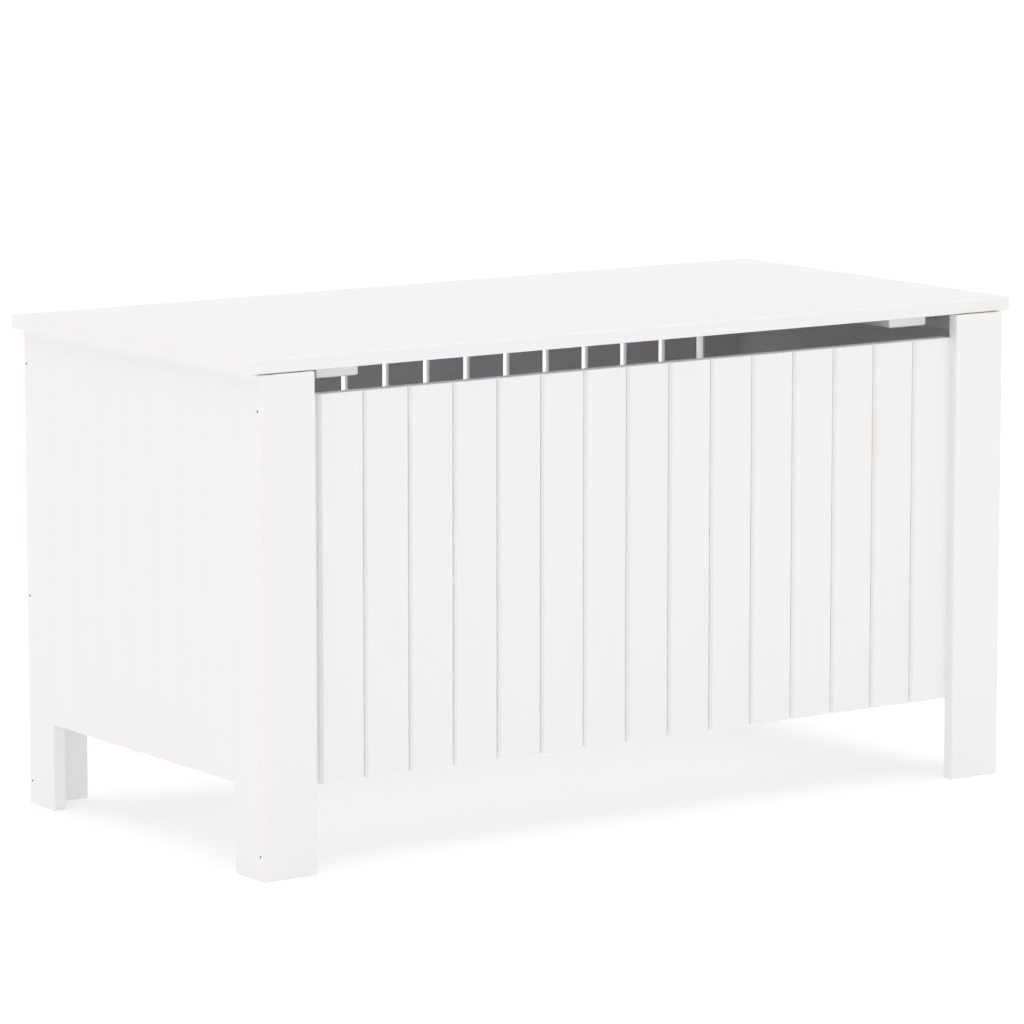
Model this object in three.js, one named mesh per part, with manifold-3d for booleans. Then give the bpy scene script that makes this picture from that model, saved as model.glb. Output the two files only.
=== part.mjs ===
// Wooden toy box on four board legs, with a hinged lid.
// Millimetres, +Z up. X runs along the front, +Y towards the back.
// The origin is on the floor, under the middle of the whole outline.
import * as THREE from 'three';
import * as BufferGeometryUtils from 'three/addons/utils/BufferGeometryUtils.js';
import Module from 'manifold-3d';

// ---------------------------------------------------------------- driving dimensions
const LID_WIDTH = 1000;
const LID_DEPTH = 486;
const TOTAL_HEIGHT = 540;
const BODY_WIDTH = 976; // over the outer faces of the legs
const BODY_DEPTH = 482.5;
const BOARD = 15; // thickness of the sawn and planed boards
const GLUE_GAP = 0.3; // left between faces that are glued or nailed together
const ARRIS = 2.5; // rounding of the long edges of legs and lid
const FINE_ARRIS = 1.5; // rounding of the smaller boards
const END_SHARE = 0.8; // the ends are rounded a little less than the long edges

const LEG_FACE_WIDTH = 51; // boards that face the front or the back
const LEG_SIDE_WIDTH = 54; // boards that face left or right, and cover the others' edges
const LID_GAP = 0.8; // between the tops of the legs and the lid

const PANEL_BOTTOM = 92; // clear height under the front and the back
const SIDE_PANEL_BOTTOM = 95.5;
const FRONT_PANEL_TOP = 498.5; // leaves the handhold under the lid
const FRONT_RECESS = 10.5; // front boards behind the faces of the front legs
const PANEL_BOARDS = 15; // along the front, and along the back
const PANEL_PITCH = 55.8;
const PANEL_FIRST_JOINT = -411; // seen from the outside of either long panel
const TONGUE = { length: 7.5, thickness: 4.6, clearance: 0.3 };
const GROOVE_MOUTH = { width: 3.2, depth: 3.4 }; // each board's half of a V joint
const PANEL_JOINT_GAP = 0.5; // between one front board and the next
const END_ARRIS = 1; // rounding of the ends of the front boards

const SLAT = { thickness: 7.5, gap: 8.4, pitch: 55.4, top: 520 };
const SIDE_BOARDS = 7;
const SIDE_JOINT = { width: 0.9, depth: 0.8 };
const SIDE_PANEL_TOP = 523.4;

const RAIL_HEIGHT = 30;
const FRONT_TOP_RAIL = { bottom: 440, top: 480 };
const BACK_TOP_RAIL_BOTTOM = 462;
const BACK_TOP_RAIL_TOP = 522.2;
const SIDE_TOP_RAIL = { bottom: 500, top: 522 };
const BOTTOM_THICKNESS = 8;

const BATTEN = { width: 52, thickness: 13, frontGap: 30, length: 403.5, innerX: 350 };

const LID_BACK_OVERHANG = 5.5; // meets the back of the box when the lid leans back
const HINGE = { x: 330, length: 60, leafDepth: 14, leaf: 1.2, knuckle: 2.4, pin: 1.2, bore: 1.4 };
const HINGE_KNUCKLES = 5;
const HINGE_PIN_DROP = 1.4; // pin axis below the underside of the lid
const HINGE_LEAF_OFFSET = 0.1; // each leaf's near face from the level of the pin axis
const HINGE_NOTCH = { spare: 0.5, reach: 2.7 }; // room let into the wood around the knuckles
const SCREW_HOLE = { radius: 1.8, spacing: 20, fromBack: 8.5 };

const BUMPER = { radius: 5, topRadius: 4.6, height: 0.6, lift: 0.1, fromFront: 35 };

const SIDES = [[-1, 'left'], [1, 'right']];
const ROUND_SIDES = 24; // of pins, knuckles and bumpers
const HOLE_SIDES = 16;
const OVERCUT = 1; // how far a cutting shape runs past what it cuts
const OVERLAP = 0.5; // how far joined shapes run into each other

// ---------------------------------------------------------------- places worked out from them
const OUTER_X = BODY_WIDTH / 2;
const INNER_X = OUTER_X - BOARD;
const LEG_INNER_X = INNER_X - LEG_FACE_WIDTH;
const BACK = (BODY_DEPTH - LID_BACK_OVERHANG) / 2;
const FRONT = BACK - BODY_DEPTH;
const LID_BACK = BACK + LID_BACK_OVERHANG;
const LID_UNDERSIDE = TOTAL_HEIGHT - BOARD;
const LEG_TOP = LID_UNDERSIDE - LID_GAP;
const FRONT_BOARD_FACE = FRONT + FRONT_RECESS;
const FRONT_BOARD_BACK = FRONT_BOARD_FACE + BOARD;
const SLAT_BACK = BACK - BOARD - GLUE_GAP;
const SLAT_FRONT = SLAT_BACK - SLAT.thickness;
const BOTTOM_RAIL_TOP = PANEL_BOTTOM + RAIL_HEIGHT;
const SIDE_RAIL_INNER_X = INNER_X - BOARD;
const HINGE_AXIS_Z = LID_UNDERSIDE - HINGE_PIN_DROP;

// ---------------------------------------------------------------- materials
const paint = new THREE.MeshStandardMaterial({ color: 0xf3f1ef, roughness: 0.55, metalness: 0 });
const steel = new THREE.MeshStandardMaterial({ color: 0xb9bbbd, roughness: 0.35, metalness: 1 });
const rubber = new THREE.MeshStandardMaterial({ color: 0xd9d8d4, roughness: 0.7, metalness: 0 });

const box = new THREE.Group();
const wasm = await Module();
wasm.setup();

function addMesh(name, geometry, material) {
  const mesh = new THREE.Mesh(geometry, material);
  mesh.name = name;
  box.add(mesh);
}

// ---------------------------------------------------------------- booleans
function toSolid(geometry) {
  const bare = geometry.clone();
  bare.deleteAttribute('normal');
  bare.deleteAttribute('uv');
  const merged = BufferGeometryUtils.mergeVertices(bare, 1e-4);
  return new wasm.Manifold(new wasm.Mesh({
    numProp: 3,
    vertProperties: Float32Array.from(merged.attributes.position.array),
    triVerts: Uint32Array.from(merged.index.array),
  }));
}

function toGeometry(solid) {
  const mesh = solid.getMesh();
  const geometry = new THREE.BufferGeometry();
  geometry.setAttribute('position', new THREE.BufferAttribute(mesh.vertProperties, 3));
  geometry.setIndex(new THREE.BufferAttribute(mesh.triVerts, 1));
  geometry.computeVertexNormals();
  return geometry;
}

function blockBetween(low, high) {
  const size = high.map((value, axis) => value - low[axis]);
  const middle = high.map((value, axis) => (value + low[axis]) / 2);
  return new THREE.BoxGeometry(...size).translate(...middle);
}

function cylinderOnHingeAxis(radius, x0, x1) {
  const geometry = new THREE.CylinderGeometry(radius, radius, x1 - x0, ROUND_SIDES);
  return geometry.rotateZ(Math.PI / 2).translate((x0 + x1) / 2, BACK, HINGE_AXIS_Z);
}

// ---------------------------------------------------------------- boards
// A rectangle about the middle, with its corners rounded.
function roundedRectangle(width, height, radius) {
  const x = width / 2;
  const y = height / 2;
  const shape = new THREE.Shape();
  shape.moveTo(x - radius, -y);
  shape.absarc(x - radius, -y + radius, radius, -Math.PI / 2, 0, false);
  shape.absarc(x - radius, y - radius, radius, 0, Math.PI / 2, false);
  shape.absarc(-x + radius, y - radius, radius, Math.PI / 2, Math.PI, false);
  shape.absarc(-x + radius, -y + radius, radius, Math.PI, 1.5 * Math.PI, false);
  return shape;
}

// A shape pushed up to the given length, its ends rounded, standing on z = 0.
// An end radius as large as a corner's own would pinch that corner to a point.
function roundedExtrusion(shape, length, endRadius, steps) {
  const geometry = new THREE.ExtrudeGeometry(shape, {
    depth: length - 2 * endRadius,
    curveSegments: steps,
    bevelEnabled: true,
    bevelThickness: endRadius,
    bevelSize: endRadius,
    bevelOffset: -endRadius,
    bevelSegments: steps,
  });
  return geometry.translate(0, 0, endRadius);
}

// A planed board between two corners. Its grain runs along the longest side.
// One step makes each arris a chamfer, and more make it round.
function boardGeometry(low, high, radius = FINE_ARRIS, steps = 1) {
  const size = high.map((value, axis) => value - low[axis]);
  const middle = high.map((value, axis) => (value + low[axis]) / 2);
  const grain = size.indexOf(Math.max(...size));
  const sections = [[size[2], size[1]], [size[0], size[2]], [size[0], size[1]]];
  const section = roundedRectangle(...sections[grain], radius);
  const geometry = roundedExtrusion(section, size[grain], END_SHARE * radius, steps);
  geometry.translate(0, 0, -size[grain] / 2);
  if (grain === 0) geometry.rotateY(Math.PI / 2);
  if (grain === 1) geometry.rotateX(-Math.PI / 2);
  return geometry.translate(...middle);
}

function addBoard(name, low, high, radius, steps) {
  addMesh(name, boardGeometry(low, high, radius, steps), paint);
}

// ---------------------------------------------------------------- lid
function lidBoard() {
  const outline = roundedRectangle(LID_WIDTH, LID_DEPTH, ARRIS);
  const slab = roundedExtrusion(outline, BOARD, END_SHARE * ARRIS, 3);
  slab.translate(0, LID_BACK - LID_DEPTH / 2, LID_UNDERSIDE);
  let solid = toSolid(slab);
  for (const [side] of SIDES) solid = solid.subtract(toSolid(hingeNotch(side, LID_BACK + OVERCUT)));
  addMesh('lid_board', toGeometry(solid), paint);
}

function lidBattens() {
  for (const [side, label] of SIDES) {
    const edges = [side * BATTEN.innerX, side * (BATTEN.innerX + BATTEN.width)];
    const start = FRONT + BATTEN.frontGap;
    const top = LID_UNDERSIDE - GLUE_GAP;
    addBoard(
      `lid_batten_${label}`,
      [Math.min(...edges), start, top - BATTEN.thickness],
      [Math.max(...edges), start + BATTEN.length, top],
      ARRIS,
      2,
    );
  }
}

// ---------------------------------------------------------------- hinges
// The room that the knuckles need in the lid and in the back rail.
function hingeNotch(side, yEnd) {
  const half = HINGE.length / 2 + HINGE_NOTCH.spare;
  return blockBetween(
    [side * HINGE.x - half, BACK - HINGE_NOTCH.reach, HINGE_AXIS_Z - HINGE_NOTCH.reach],
    [side * HINGE.x + half, yEnd, HINGE_AXIS_Z + HINGE_NOTCH.reach],
  );
}

// One leaf: a plate, its share of the knuckles, the bore for the pin and three screw holes.
// The leaf lies above the pin axis when up is 1, and below it when up is -1.
function hingeLeaf(side, up, firstKnuckle) {
  const start = side * HINGE.x - HINGE.length / 2;
  const pitch = HINGE.length / HINGE_KNUCKLES;
  const end = start + HINGE.length;
  const near = HINGE_AXIS_Z + up * HINGE_LEAF_OFFSET;
  const far = near + up * HINGE.leaf;
  const z = [Math.min(near, far), Math.max(near, far)];
  const plateBack = BACK - HINGE_NOTCH.reach;
  let solid = toSolid(blockBetween(
    [start, BACK - HINGE.leafDepth, z[0]],
    [end, plateBack, z[1]],
  ));
  for (let index = firstKnuckle; index < HINGE_KNUCKLES; index += 2) {
    const x0 = start + index * pitch + GLUE_GAP / 2;
    const x1 = x0 + pitch - GLUE_GAP;
    const arm = blockBetween([x0, plateBack - OVERLAP, z[0]], [x1, BACK, z[1]]);
    solid = solid.add(toSolid(arm)).add(toSolid(cylinderOnHingeAxis(HINGE.knuckle, x0, x1)));
  }
  solid = solid.subtract(toSolid(cylinderOnHingeAxis(HINGE.bore, start - OVERCUT, end + OVERCUT)));
  for (const step of [-1, 0, 1]) {
    const depth = HINGE.leaf + 2 * OVERCUT;
    const hole = new THREE.CylinderGeometry(SCREW_HOLE.radius, SCREW_HOLE.radius, depth, HOLE_SIDES);
    hole.rotateX(Math.PI / 2);
    hole.translate(side * HINGE.x + step * SCREW_HOLE.spacing, BACK - SCREW_HOLE.fromBack, (near + far) / 2);
    solid = solid.subtract(toSolid(hole));
  }
  return toGeometry(solid);
}

function hinges() {
  for (const [side, label] of SIDES) {
    const start = side * HINGE.x - HINGE.length / 2;
    const pin = cylinderOnHingeAxis(HINGE.pin, start, start + HINGE.length);
    addMesh(`hinge_${label}_lid_leaf`, hingeLeaf(side, 1, 1), steel);
    addMesh(`hinge_${label}_box_leaf`, hingeLeaf(side, -1, 0), steel);
    addMesh(`hinge_${label}_pin`, pin, steel);
  }
}

// ---------------------------------------------------------------- legs
// Each leg is two boards in an L: the side board covers the other one's edge.
function leg(xSide, ySide) {
  const label = `leg_${ySide < 0 ? 'front' : 'back'}_${xSide < 0 ? 'left' : 'right'}`;
  const outerY = ySide < 0 ? FRONT : BACK;
  const span = (a, b) => [Math.min(a, b), Math.max(a, b)];
  const sideX = span(xSide * OUTER_X, xSide * INNER_X);
  const sideY = span(outerY, outerY - ySide * LEG_SIDE_WIDTH);
  const faceX = span(xSide * (INNER_X - GLUE_GAP), xSide * LEG_INNER_X);
  const faceY = span(outerY, outerY - ySide * BOARD);
  addBoard(`${label}_side_board`, [sideX[0], sideY[0], 0], [sideX[1], sideY[1], LEG_TOP], ARRIS, 2);
  addBoard(`${label}_face_board`, [faceX[0], faceY[0], 0], [faceX[1], faceY[1], LEG_TOP], ARRIS, 2);
}

function legs() {
  for (const ySide of [-1, 1]) {
    for (const [xSide] of SIDES) leg(xSide, ySide);
  }
}

// ---------------------------------------------------------------- front panel
// Plan of a tongue and groove board: face along y = 0, tongue to the left of x = 0.
// The one without a groove is ripped square to meet the leg.
function tongueAndGroovePlan(width, tongueLength, hasGroove) {
  const left = PANEL_JOINT_GAP / 2;
  const right = width - PANEL_JOINT_GAP / 2;
  const tongueFront = (BOARD - TONGUE.thickness) / 2;
  const tongueBack = tongueFront + TONGUE.thickness;
  const shape = new THREE.Shape();
  shape.moveTo(left, tongueFront);
  shape.lineTo(left - tongueLength, tongueFront);
  shape.lineTo(left - tongueLength, tongueBack);
  shape.lineTo(left, tongueBack);
  shape.lineTo(left, BOARD);
  shape.lineTo(right, BOARD);
  if (hasGroove) {
    const inner = right - TONGUE.length;
    shape.lineTo(right, tongueBack + TONGUE.clearance);
    shape.lineTo(inner, tongueBack + TONGUE.clearance);
    shape.lineTo(inner, tongueFront - TONGUE.clearance);
    shape.lineTo(right, tongueFront - TONGUE.clearance);
    shape.lineTo(right, GROOVE_MOUTH.depth);
    shape.lineTo(right - GROOVE_MOUTH.width, 0);
  } else {
    shape.lineTo(right, 0);
  }
  shape.lineTo(left + GROOVE_MOUTH.width, 0);
  shape.lineTo(left, GROOVE_MOUTH.depth);
  return shape;
}

function frontPanel() {
  const height = FRONT_PANEL_TOP - PANEL_BOTTOM;
  const legEdge = LEG_INNER_X - GLUE_GAP;
  for (let index = 0; index < PANEL_BOARDS; index += 1) {
    const joint = PANEL_FIRST_JOINT + index * PANEL_PITCH;
    const isFirst = index === 0;
    const isLast = index === PANEL_BOARDS - 1;
    const width = isLast ? legEdge - joint : PANEL_PITCH;
    const tongueLength = isFirst ? joint + legEdge : TONGUE.length;
    const plan = tongueAndGroovePlan(width, tongueLength, !isLast);
    const board = roundedExtrusion(plan, height, END_ARRIS, 1);
    board.translate(joint, FRONT_BOARD_FACE, PANEL_BOTTOM);
    addMesh(`front_board_${String(index + 1).padStart(2, '0')}`, board, paint);
  }
}

// ---------------------------------------------------------------- back panel
// Spaced slats, numbered from the left of someone who stands behind the box.
function backPanel() {
  for (let index = 0; index < PANEL_BOARDS; index += 1) {
    const joint = -PANEL_FIRST_JOINT - index * SLAT.pitch;
    const left = joint - SLAT.pitch + SLAT.gap / 2;
    const right = joint - SLAT.gap / 2;
    addBoard(
      `back_slat_${String(index + 1).padStart(2, '0')}`,
      [left, SLAT_FRONT, PANEL_BOTTOM],
      [right, SLAT_BACK, SLAT.top],
    );
  }
}

function backTopRail() {
  const edge = LEG_INNER_X - GLUE_GAP;
  const rail = boardGeometry(
    [-edge, BACK - BOARD, BACK_TOP_RAIL_BOTTOM],
    [edge, BACK, BACK_TOP_RAIL_TOP],
  );
  let solid = toSolid(rail);
  for (const [side] of SIDES) solid = solid.subtract(toSolid(hingeNotch(side, BACK + OVERCUT)));
  addMesh('back_top_rail', toGeometry(solid), paint);
}

// ---------------------------------------------------------------- side panels
// Boards glued edge to edge, with a fine V at every joint, flush with the legs.
function sidePanel(side, label) {
  const span = BODY_DEPTH - 2 * LEG_SIDE_WIDTH;
  const pitch = span / SIDE_BOARDS;
  const length = span - 2 * GLUE_GAP;
  const start = -length / 2;
  const joints = Array.from({ length: SIDE_BOARDS - 1 }, (_, index) => -span / 2 + (index + 1) * pitch);
  const shape = new THREE.Shape();
  shape.moveTo(0, start);
  shape.lineTo(BOARD, start);
  for (const joint of joints) {
    shape.lineTo(BOARD, joint - SIDE_JOINT.width);
    shape.lineTo(BOARD - SIDE_JOINT.depth, joint);
    shape.lineTo(BOARD, joint + SIDE_JOINT.width);
  }
  shape.lineTo(BOARD, -start);
  shape.lineTo(0, -start);
  for (const joint of joints.reverse()) {
    shape.lineTo(0, joint + SIDE_JOINT.width);
    shape.lineTo(SIDE_JOINT.depth, joint);
    shape.lineTo(0, joint - SIDE_JOINT.width);
  }
  const panel = new THREE.ExtrudeGeometry(shape, {
    depth: SIDE_PANEL_TOP - SIDE_PANEL_BOTTOM,
    bevelEnabled: false,
  });
  const lowX = side < 0 ? -OUTER_X : INNER_X;
  panel.translate(lowX, (FRONT + BACK) / 2, SIDE_PANEL_BOTTOM);
  addMesh(`side_panel_${label}`, panel, paint);
}

// ---------------------------------------------------------------- rails and bottom
function frontRails() {
  const near = FRONT_BOARD_BACK + GLUE_GAP;
  const wide = INNER_X - GLUE_GAP;
  const narrow = SIDE_RAIL_INNER_X - GLUE_GAP;
  addBoard(
    'front_top_rail',
    [-wide, near, FRONT_TOP_RAIL.bottom],
    [wide, near + BOARD, FRONT_TOP_RAIL.top],
  );
  addBoard('front_bottom_rail', [-narrow, near, PANEL_BOTTOM], [narrow, near + BOARD, BOTTOM_RAIL_TOP]);
}

function backBottomRail() {
  const far = SLAT_FRONT - GLUE_GAP;
  const edge = SIDE_RAIL_INNER_X - GLUE_GAP;
  addBoard('back_bottom_rail', [-edge, far - BOARD, PANEL_BOTTOM], [edge, far, BOTTOM_RAIL_TOP]);
}

function sideRails() {
  const y0 = FRONT + BOARD + GLUE_GAP;
  const y1 = BACK - BOARD - GLUE_GAP;
  for (const [side, label] of SIDES) {
    const edges = [side * SIDE_RAIL_INNER_X, side * (INNER_X - GLUE_GAP)];
    const x = [Math.min(...edges), Math.max(...edges)];
    addBoard(`side_bottom_rail_${label}`, [x[0], y0, SIDE_PANEL_BOTTOM], [x[1], y1, BOTTOM_RAIL_TOP]);
    addBoard(`side_top_rail_${label}`, [x[0], y0, SIDE_TOP_RAIL.bottom], [x[1], y1, SIDE_TOP_RAIL.top]);
  }
}

function bottomPanel() {
  const x = INNER_X - 2 * GLUE_GAP;
  const y0 = FRONT_BOARD_BACK + GLUE_GAP;
  const y1 = SLAT_FRONT - GLUE_GAP;
  const z = BOTTOM_RAIL_TOP + GLUE_GAP;
  addMesh('bottom_panel', blockBetween([-x, y0, z], [x, y1, z + BOTTOM_THICKNESS]), paint);
}

// ---------------------------------------------------------------- bumpers
// Soft dots on the front legs, which carry the front of the closed lid.
function bumpers() {
  for (const [side, label] of SIDES) {
    const disc = new THREE.CylinderGeometry(BUMPER.topRadius, BUMPER.radius, BUMPER.height, ROUND_SIDES);
    const middle = LEG_TOP + BUMPER.lift + BUMPER.height / 2;
    disc.rotateX(Math.PI / 2);
    disc.translate(side * (OUTER_X - BOARD / 2), FRONT + BUMPER.fromFront, middle);
    addMesh(`lid_bumper_${label}`, disc, rubber);
  }
}

lidBoard();
lidBattens();
hinges();
legs();
frontPanel();
backPanel();
backTopRail();
for (const [side, label] of SIDES) sidePanel(side, label);
frontRails();
backBottomRail();
sideRails();
bottomPanel();
bumpers();

export default box;
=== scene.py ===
import math
import random

import bmesh
import bpy
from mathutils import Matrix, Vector


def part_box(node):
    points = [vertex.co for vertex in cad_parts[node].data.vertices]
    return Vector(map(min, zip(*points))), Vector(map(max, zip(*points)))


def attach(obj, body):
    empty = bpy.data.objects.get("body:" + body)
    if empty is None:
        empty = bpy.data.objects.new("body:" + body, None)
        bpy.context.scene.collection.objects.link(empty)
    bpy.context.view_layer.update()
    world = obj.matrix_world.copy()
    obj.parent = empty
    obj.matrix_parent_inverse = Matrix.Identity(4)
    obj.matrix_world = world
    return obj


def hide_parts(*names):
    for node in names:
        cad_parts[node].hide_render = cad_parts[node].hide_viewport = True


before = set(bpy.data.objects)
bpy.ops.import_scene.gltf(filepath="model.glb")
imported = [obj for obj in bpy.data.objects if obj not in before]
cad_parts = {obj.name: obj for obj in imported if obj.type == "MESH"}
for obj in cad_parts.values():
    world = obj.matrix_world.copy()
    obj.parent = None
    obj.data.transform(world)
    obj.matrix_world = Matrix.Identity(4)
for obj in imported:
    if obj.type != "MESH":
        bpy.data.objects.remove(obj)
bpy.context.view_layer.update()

# White painted pine toy box. Metres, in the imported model's frame: X along the front, +Y to the
# back, +Z up. Each wooden node is replaced by a finely rounded board in the same place.

MM = 0.001

# ------------------------------------------------------------------ sizes of the boards
ARRIS = 2.5 * MM  # rounding of the long edges of legs and battens
LID_CORNER = 3 * MM
END_ARRIS = 2 * MM
FINE_ARRIS = 1.2 * MM  # of rails and slats
FLUSH_ARRIS = 0.4 * MM  # where boards meet flush, almost closed by the paint
PANEL_END_ARRIS = 1 * MM  # of the ends of the front boards
BOTTOM_ARRIS = 0.5 * MM
SIDE_BOARDS = 7
PANEL_BOARDS = sum(1 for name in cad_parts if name.startswith("front_board_"))
GROOVE_MOUTH = (3.2 * MM, 3.4 * MM)  # each front board's half of a V joint: across, and deep
MOUTH_ARRIS = 0.7 * MM
TONGUE = (7.5 * MM, 4.6 * MM)  # length and thickness
TONGUE_CLEARANCE = 0.3 * MM

ARC_STEPS = 6
ROUND_SIDES = 32
NAIL_SIDES = 16
SHARP = math.radians(35)  # edges steeper than this stay crisp
TINY = 0.002 * MM  # the least radius of a rounded corner

# ------------------------------------------------------------------ nails and screws
NAIL_RADIUS = 1.3 * MM
NAIL_PROUD = 0.08 * MM
NAIL_CROWN = ((0, 1), (0.75, 1), (0.93, 0.7), (1, 0))  # shares of the radius and of NAIL_PROUD
LEG_NAIL_INSET = 6.5 * MM  # from the leg's outer edge
LEG_NAIL_HEIGHTS = {"front": (26 * MM, 487 * MM), "back": (26 * MM, 232 * MM, 487 * MM)}
BRAD_RADIUS = 0.9 * MM
SLAT_BRAD_OFFSET = 12 * MM  # to each side of a slat's middle
SCREW_PROUD = 0.04 * MM
BATTEN_SCREW_HEAD = 3.8 * MM
BATTEN_SCREWS = 4
BATTEN_SCREW_INSET = 35 * MM  # from the ends of a batten

# A screw head's shape, as shares of its radius.
RIM = 0.96
RIM_DEPTH = 0.05
SHANK = 0.45
SHANK_DEPTH = 0.65
CROSS_MOUTH = (0.58, 0.13)  # half the length of an arm, and half its width
CROSS_FLOOR = (0.36, 0.09)
CROSS_DEPTH = 0.42

# ------------------------------------------------------------------ hinges
LEAF_THICKNESS = 1.2 * MM
LEAF_OFFSET = 0.1 * MM  # from the level of the pin's axis
LEAF_CORNER = 2 * MM
LEAF_ARRIS = 0.25 * MM
LEAF_SCREWS = 3
LEAF_SCREW_REACH = 20 * MM  # from the middle of the leaf to its outer screws
LEAF_SCREW_SHIFT = 0.2 * MM  # from the plate's middle, away from the pin
LEAF_SCREW_HEAD = 2.6 * MM
KNUCKLES = 5
KNUCKLE = 2.4 * MM
KNUCKLE_BORE = 1.4 * MM
KNUCKLE_GAP = 0.3 * MM
KNUCKLE_EDGE = 0.2 * MM
KNUCKLE_REACH = 2.7 * MM  # from the axis to the edge of the plate and of the notches in the wood
ARM_LAP = 0.3 * MM  # of a knuckle's arm over its plate
NOTCH_END_ROOM = 0.5 * MM
NOTCH_BEYOND = 20 * MM  # past the axis, which takes the notch out through the back of the wood
PIN_DOME = 0.4 * MM
PIN_END = ((0, 0), (0.6, 0.2), (1, 1))  # shares of the radius and of PIN_DOME

# ------------------------------------------------------------------ bumpers
# Shares of a bumper's radius and height.
BUMPER_SEAT = 0.92
BUMPER_WIDEST_HEIGHT = 0.12
BUMPER_SHOULDER = 0.99
BUMPER_SHOULDER_HEIGHT = 0.3
BUMPER_DOME = 0.35

# ------------------------------------------------------------------ paint over pine
# How far a plank lies from the heart of its tree: along it, across it, and deep.
PLANK_SHIFTS = ((0, 40), (-0.03, 0.03), (0.02, 0.09))
# Changes per metre, along the grain and twice across it.
WAVE_RATES = (2.6, 14.0, 14.0)
FIBRE_RATES = (14.0, 620.0, 620.0)
KNOT_RATES = (3.0, 17.0, 17.0)
PATCH_SCALE = 0.7  # of the waves
FILM_SCALE = 420.0
RING_SPACING = 3.4 * MM
RING_BEND = 22 * MM
RING_EDGE = (-0.3, 1.0)
KNOT_EDGE = (0.03, 0.16)
KNOT_CHOICE = (0.72, 0.75)  # of the cells, only those above this have a knot
WORN_FIBRES = (0.35, 0.75)
LEAST_WEAR = 0.25
# How much of each shows in the colour, in the roughness and as relief.
SHOWN = {"rings": 0.30, "fibres": 0.35, "patches": 0.25, "tone": 0.14}
KNOTS_SHOWN = 0.16
ARRIS_SHOWN = 0.03
FIBRE_ROUGHNESS = 0.12
ARRIS_POLISH = 0.05
RELIEF = {"rings": 0.45, "fibres": 0.8, "film": 0.25, "knots": 0.5}
RELIEF_STRENGTH = 0.35
PAINT_COAT = 0.08
PAINT_COAT_ROUGHNESS = 0.32

# ------------------------------------------------------------------ steel and rubber
BRUSHED_RATES = (90.0, 2600.0, 2600.0)  # changes per metre, along X and twice across it
BRUSHED_STRENGTH = 0.35
BRUSHED_DEPTH = 0.03 * MM
CLOUD_SCALE = 160.0
CLOUD_EDGE = (0.35, 0.7)
CLOUD_ROUGHNESS = 0.22
RUBBER_GRAIN_SCALE = 2400.0
RUBBER_GRAIN_STRENGTH = 0.4
RUBBER_GRAIN_DEPTH = 0.04 * MM
RUBBER_ROUGHNESS = 0.45
RUBBER_SUBSURFACE = 0.2
RUBBER_SUBSURFACE_DEPTH = 2 * MM
DUST_SCALE = 260.0
DUST_EDGE = (0.4, 0.75)
DUST_SHOWN = 0.6
DUST_ROUGHNESS = 0.2

# ------------------------------------------------------------------ studio
CAMERA_AZIMUTH = 34.836  # degrees to the left of straight on
CAMERA_ELEVATION = 8.871
CAMERA_PLACE = (-3.3332, -4.7771, 1.2195)
CAMERA_LENS = 187.55
CAMERA_SENSOR = 36
CAMERA_RANGE = 100

LIT_MIDDLE = (0, 0, 0.35)
LEFT_SOFTBOX = {"at": (-3.4, -0.4, 0.8), "size": (3.0, 1.4), "power": 8, "colour": (1.0, 0.77, 0.66)}
FRONT_SOFTBOX = {"at": (0.9, -3.6, 1.06), "size": (2.6, 0.35), "power": 7, "colour": (0.94, 0.945, 1.0)}
OVERHEAD_HEIGHT = 3
OVERHEAD_STRENGTH = 2.22
OVERHEAD_SPREAD = math.radians(100)
HORIZON_TOP = 0.12  # the upward share of a direction, up to which the walls are bright
CEILING_START = 0.45
HORIZON_STRENGTH = 1.03
CEILING_STRENGTH = 0.36
LIGHT_BOUNCES = 16
DIFFUSE_BOUNCES = 12

FLOOR_REACH = 30
FLOOR_CLOUD_SCALE = 2.0
FLOOR_TONES = ((0.62, 0.62, 0.62, 1), (0.61, 0.61, 0.61, 1))
FLOOR_ROUGHNESS = 0.9
FLOOR_SPECULAR = 0.1
FLOOR_GLOW = 0.40  # the floor is lit from within, like a light table

WHITE = (1.0, 1.0, 1.0, 1)

rng = random.Random(7)


# ------------------------------------------------------------------ outlines and prisms
def filleted(corners, radii):
    """A closed outline through the corners, each one rounded to its own radius."""
    outline = []
    for index, point in enumerate(corners):
        radius = radii[index]
        if radius == 0:
            outline.append((point, 0.0))
            continue
        before = (corners[index - 1] - point).normalized()
        after = (corners[(index + 1) % len(corners)] - point).normalized()
        half = before.angle(after) / 2
        centre = point + (before + after).normalized() * radius / math.sin(half)
        first = point + before * radius / math.tan(half) - centre
        turn = first.angle_signed(point + after * radius / math.tan(half) - centre)
        for step in range(ARC_STEPS + 1):
            share = step / ARC_STEPS
            angle = -turn * share
            spoke = Vector((
                first.x * math.cos(angle) - first.y * math.sin(angle),
                first.x * math.sin(angle) + first.y * math.cos(angle),
            ))
            outline.append((centre + spoke, math.sin(math.pi * share)))
    return outline


def section(corners, radii, inward):
    """The rounded outline moved inwards: its corners move in, and their radii shrink."""
    corners = [Vector(corner) for corner in corners]
    moved = []
    for index, point in enumerate(corners):
        before = (point - corners[index - 1]).normalized()
        after = (corners[(index + 1) % len(corners)] - point).normalized()
        normal = Vector((-before.y - after.y, before.x + after.x)).normalized()
        moved.append(point + normal * inward / normal.dot(Vector((-after.y, after.x))))
    return filleted(moved, [max(radius - inward, TINY) if radius else 0 for radius in radii])


def place(axis, along, across, depth):
    """A point from its distances along the board's grain and over its section."""
    if axis == "X":
        return Vector((along, across, depth))
    if axis == "Y":
        return Vector((across, along, depth))
    return Vector((across, depth, along))


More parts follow.
